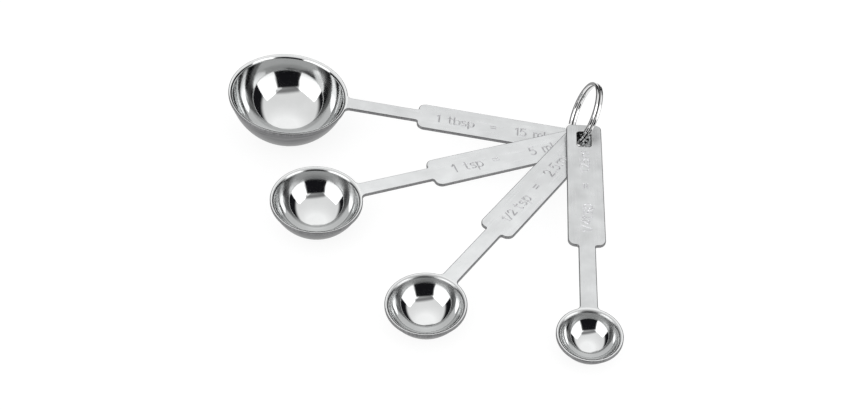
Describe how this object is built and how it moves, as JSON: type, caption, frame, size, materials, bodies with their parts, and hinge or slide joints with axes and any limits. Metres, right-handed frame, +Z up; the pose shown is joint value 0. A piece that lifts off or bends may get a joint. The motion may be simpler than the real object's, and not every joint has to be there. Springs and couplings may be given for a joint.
{
  "type": "measuring spoon set",
  "caption": "Stainless steel measuring spoons with flat handles, fanned out on a split ring; each spoon swings on the ring.",
  "frame": {"origin": "on the surface that the set lies on, under the middle of its box", "axes": "+Z up, +Y away from the smallest spoon's bowl, +X from the largest spoon's bowl towards the ring"},
  "size_m": [0.139, 0.1382, 0.0234],
  "materials": {
    "spoon_steel": "polished bowl, satin handle",
    "ring_wire": "bright"
  },
  "bodies": {
    "split_ring": {"split_ring": "ring_wire"},
    "tablespoon": {"tablespoon": "spoon_steel"},
    "teaspoon": {"teaspoon": "spoon_steel"},
    "half_teaspoon": {"half_teaspoon": "spoon_steel"},
    "quarter_teaspoon": {"quarter_teaspoon": "spoon_steel"}
  },
  "joints": [
    {"name": "tablespoon_swing", "type": "hinge", "parent": "split_ring", "child": "tablespoon", "pos_m": [0.0603, 0.03735, 0.0034], "axis": [0, 0, 1], "range_deg": [-40, 1.5]},
    {"name": "teaspoon_swing", "type": "hinge", "parent": "split_ring", "child": "teaspoon", "pos_m": [0.06113, 0.03499, 0.00583], "axis": [0, 0, 1], "range_deg": [-1.5, 4]},
    {"name": "half_teaspoon_swing", "type": "hinge", "parent": "split_ring", "child": "half_teaspoon", "pos_m": [0.06192, 0.03377, 0.00802], "axis": [0, 0, 1], "range_deg": [-4, 4]},
    {"name": "quarter_teaspoon_swing", "type": "hinge", "parent": "split_ring", "child": "quarter_teaspoon", "pos_m": [0.06285, 0.03309, 0.01051], "axis": [0, 0, 1], "range_deg": [-4, 35]}
  ]
}
